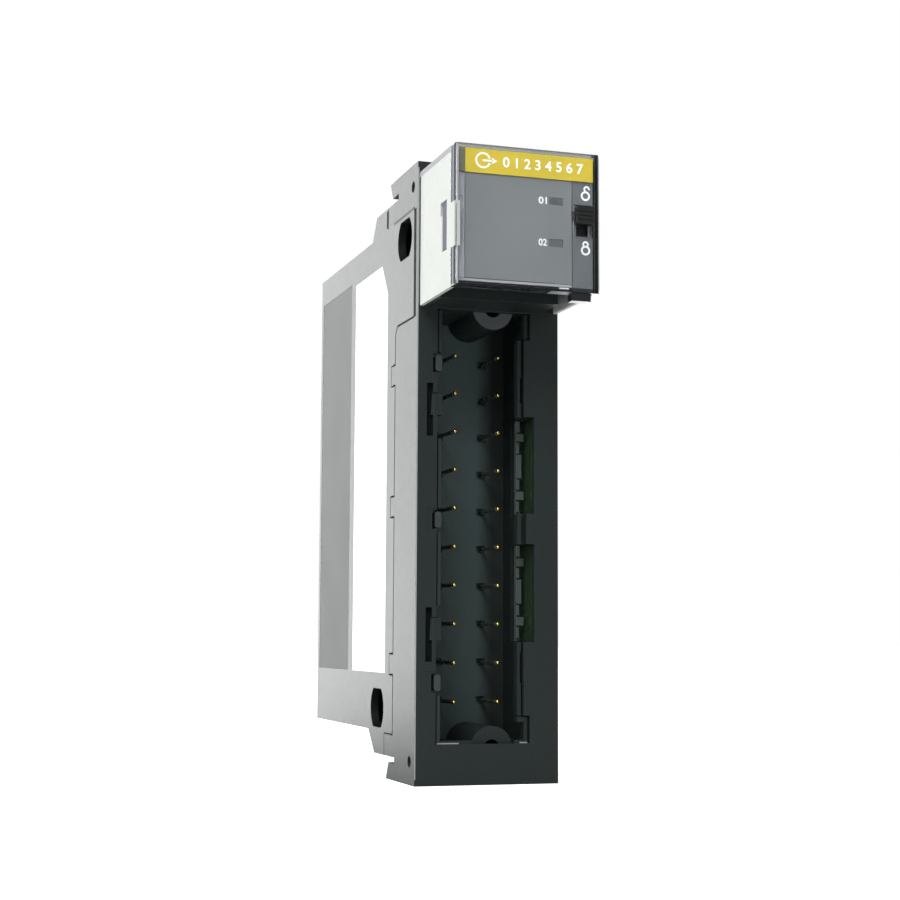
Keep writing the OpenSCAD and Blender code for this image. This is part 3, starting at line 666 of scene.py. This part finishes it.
def print_digits(name, digits, x, z, y):
    """Digits in ink that fill the rectangle x[0]..x[1], z[0]..z[1] on a face at y."""
    text = bpy.data.curves.new(name, "FONT")
    text.body = digits
    text.size = DRAWN_SIZE * MM
    text.extrude = INK * MM / 2
    text.offset = BOLDER * MM
    maker = bpy.data.objects.new(name + "_maker", text)
    bpy.context.scene.collection.objects.link(maker)
    bpy.context.view_layer.update()
    mesh = bpy.data.meshes.new_from_object(maker.evaluated_get(bpy.context.evaluated_depsgraph_get()))
    bpy.data.objects.remove(maker)
    xs = [v.co.x for v in mesh.vertices]
    ys = [v.co.y for v in mesh.vertices]
    for v in mesh.vertices:
        across = (v.co.x - min(xs)) / (max(xs) - min(xs))
        up = (v.co.y - min(ys)) / (max(ys) - min(ys))
        v.co = ((x[0] + (x[1] - x[0]) * across) * MM, (y - INK / 2) * MM - v.co.z,
                (z[0] + (z[1] - z[0]) * up) * MM)
    finish_piece(name, mesh, "white_ink")


def padlock(x, z, swing):
    """Outlines of a padlock sign round its middle. swing, in millimetres, opens the shackle."""
    body = stroke(arc((x, z - 0.66), 0.9, 91, 449), 0.46)
    top = (x + swing, z + 0.72 + swing * 0.6)
    shackle = stroke(arc(top, 0.56, -35 + swing * 70, 215 + swing * 50, 20), 0.42)
    return [body, shackle]


def make_prints():
    """Signs on the type strip, the panel and the slide's guide."""
    low, high = corners("type_strip")
    face = low[1]
    x, z = low[0] + 4.15, (low[2] + high[2]) / 2 + 0.15
    ring = stroke(arc((x, z), 1.62, 20, 340), 0.44)
    shaft = stroke([(x - 0.1, z), (x + 2.3, z)], 0.44)
    head = [(x + 2.05, z - 0.72), (x + 3.35, z), (x + 2.05, z + 0.72)]
    print_marks("strip_sign", [ring, shaft, head], face)
    print_digits("strip_digits", "0 1 2 3 4 5 6 7", (low[0] + 8.8, low[0] + 28.0), (z - 1.2, z + 1.2), face)
    low, high = corners("light_pipes")
    panel = corners("legend_panel")[0][1]
    beside = (low[0] - 2.6, low[0] - 0.6)
    print_digits("lower_digits", "02", beside, (low[2], low[2] + 1.6), panel)
    print_digits("upper_digits", "01", beside, (high[2] - 1.6, high[2]), panel)
    low, high = corners("slide_guide")
    sign_x = (low[0] + high[0]) / 2 + 0.7
    print_marks("open_sign", padlock(sign_x, low[2] + 22.6, 0.3), low[1])
    print_marks("closed_sign", padlock(sign_x, low[2] + 10.1, 0), low[1])
    # A painted glint along the right edge of the guide's window
    window = rectangle(high[0] - 0.87, high[0] - 0.7, low[2] + 12.5, low[2] + 15)
    print_marks("window_edge_glint", [window], low[1], material="highlight_grey")


def plate(name, x, y, z, material, round_by=0.0):
    """A thin plate that fills x[0]..x[1], y[0]..y[1] and z[0]..z[1]."""
    finish_piece(name, extruded([rectangle(*x, *z)], *y), material, round_by)


def span(start, near, far):
    """The range from near to far beyond start."""
    return start + near, start + far


def make_box_details():
    """Small pieces inside the status box, seen through its clear cover."""
    strip_low, strip_high = corners("type_strip")
    panel_low, panel_high = corners("legend_panel")
    margin = (corners("clear_cover")[0][0] + 1.1, panel_low[0] - 0.05)
    plate("strip_shade", margin, span(strip_low[1], 0.1, 0.5), (strip_low[2] + 0.1, strip_high[2]),
          "taupe_film", 0.05)
    plate("panel_margin", margin, span(panel_low[1], 0.2, 0.8), (panel_low[2], strip_low[2]),
          "margin_grey", 0.05)
    # A painted highlight along the panel's foot
    plate("panel_foot_highlight", (margin[0], panel_high[0]), span(panel_low[1], 0.1, 0.8),
          span(panel_low[2], -0.75, -0.1), "highlight_grey", 0.05)


def make_clip_details():
    """Painted shade, highlights and reflection on the clear cover's edges, seams and side wall, the white
    face of its clip, and the clip's end in its slot.
    """
    low, high = corners("clear_cover")
    housing, housing_high = corners("status_housing")
    wall, front = low[0], low[1]
    skin, corner, cap = span(wall, -0.03, -0.005), span(wall, -0.03, 0.2), span(front, -0.03, 0.02)
    clip = span(low[2], 8.7, 18.8)
    # A dark joint line, painted shade along the corner, painted reflection on the wall and a painted
    # highlight
    for i, z in enumerate([(low[2] + 0.3, clip[0]), (clip[1], high[2] - 0.3)]):
        for name, x, y, material in (("joint_line", skin, span(front, 2.1, 2.9), "joint_and_edge_shade"),
                                     ("wall_sheen", skin, span(front, 1.0, 2.1), "wall_sheen"),
                                     ("corner_shade_line", corner, span(front, 0.25, 1.0), "joint_and_edge_shade"),
                                     ("corner_light", span(wall, 0.38, 0.75), span(front, -0.02, 0.02),
                                      "highlight_grey")):
            plate(f"{name}_{i}", x, y, z, material)
    sides = (low[2] + 0.8, high[2] - 0.8)
    top = span(housing_high[2], -1.3, -0.05)
    for name, x, y, z, material, slot in (
            ("clip_face", skin, span(front, 0.4, 3.4), clip, "white_plastic", "clear_cover"),
            ("clip_corner", corner, span(front, 0.2, 0.5), clip, "white_plastic", "clear_cover"),
            ("clip_front", span(wall, 0.35, 1.15), cap, clip, "white_plastic", "clear_cover"),
            ("right_edge_light", span(high[0], -0.24, -0.02), cap, sides, "highlight_grey", "clear_cover"),
            ("top_edge_shade", span(housing[0], -0.03, -0.005), (front + 3.6, FACE_Y - 0.1), top,
             "top_edge_grey", "status_housing"),
            ("foot_edge", span(high[0], -11.5, -6.6), span(front, 0.1, 3.2), span(low[2], -0.03, -0.005),
             "guide_grey", "clear_cover"),
            ("clip_end", span(housing[0], 0.25, 0.29), span(housing[1], 3.5, 6.2),
             span(housing[2], 9.4, 20.2), "clip_grey", "clear_cover")):
        plate(name, x, y, z, material)


# Places below are in millimetres: x from the middle, y behind the face and z above the foot.

# The coding lips and the long slots in the opening's left margin, and the opening's lower lip
LIPS_X, LIPS_Z = (-11.9, -11.25), ((9.65, 20.35), (41.05, 57.85), (63.55, 79.55), (100.15, 109.75))
SLOTS_X, SLOTS_Z = (-15.1, -13.3), ((28.0, 40.6), (80.0, 92.6))
LOWER_LIP_X, LOWER_LIP_Z = ((-11.9, -6.6), (8.2, 10.1)), (9.35, 9.62)
LIP_DEPTH, SLOT_DEPTH = 0.9, 1.4
# The middle of the gap under the upper hook, and its front and rear ends
GAP_Z, GAP_Y = 134.35, (3.1, 25.1)
# The upper guide post: its centre and the depth of its rim's front, and the radii and ends, in degrees, of
# the part of the rim that shows below the status box
POST_X, POST_Z, POST_DEPTH = 1.8, 111.3, 2.1
RIM_OUTER, RIM_INNER = 5.0, 2.15
RIM_START, RIM_END = 186, 354


def make_face_details():
    """Painted shade in the margin slots and along the left side's seams, and painted light on the lips, the
    edges and the post's rim.
    """
    # Paler plates of painted light on the coding lips' faces
    for i, z in enumerate(LIPS_Z):
        plate(f"lip_lit_face_{i}", LIPS_X, span(FACE_Y, LIP_DEPTH - 0.04, LIP_DEPTH), span(FOOT_Z, *z),
              "lip_lit_grey")
    for i, z in enumerate(SLOTS_Z):
        plate(f"slot_shade_{i}", SLOTS_X, span(FACE_Y, SLOT_DEPTH - 0.1, SLOT_DEPTH), span(FOOT_Z, *z),
              "shade_dark")
    for i, x in enumerate(LOWER_LIP_X):
        plate(f"lip_light_{i}", x, span(FACE_Y, LIP_DEPTH - 0.06, LIP_DEPTH), span(FOOT_Z, *LOWER_LIP_Z),
              "highlight_grey")
    side = corners("side_cover")[0][0]
    proud = span(side, -0.012, 0.1)
    housing_low, housing_high = corners("status_housing")
    # Dark strips of painted shade along the side plates' seams
    plate("side_seam_shade_0", proud, span(FACE_Y, 1.2, 3.0), span(FOOT_Z, 108.2, 134.1),
          "shade_dark")
    plate("side_seam_shade_1", proud, span(FACE_Y, 25.4, 27.0), span(FOOT_Z, 134.6, 139.0),
          "shade_dark")
    plate("seam_fill", span(side, 0.005, 0.2), span(FACE_Y, *GAP_Y),
          span(FOOT_Z, GAP_Z - 0.18, GAP_Z + 0.18), "side_plastic")
    plate("edge_light", span(side, 0.03, 0.27), span(FACE_Y, -0.03, 0.2), span(FOOT_Z, 1.5, 143.5),
          "highlight_grey")
    # A painted reflection on the front face's left margin beside the status box
    plate("box_margin_sheen", (side + 0.27, corners("clear_cover")[0][0] - 0.01), span(FACE_Y, -0.03, 0.1),
          (housing_low[2] + 0.5, housing_high[2] - 0.5), "clip_grey")
    # A paler rim of painted light on the upper guide post's face
    post = (POST_X, FOOT_Z + POST_Z)
    rim = arc(post, RIM_OUTER, RIM_START, RIM_END) + arc(post, RIM_INNER, RIM_END, RIM_START)
    rim_y = span(FACE_Y, POST_DEPTH - 0.06, POST_DEPTH)
    finish_piece("upper_post_rim", extruded([rim], *rim_y), "post_rim_light")


make_camera()
make_materials()
make_studio()
finish_cad_nodes()
for node, material, width in SOFT_EDGES:
    softened(node, material, width, merge=node != "clear_cover")
make_prints()
make_box_details()
make_clip_details()
make_face_details()
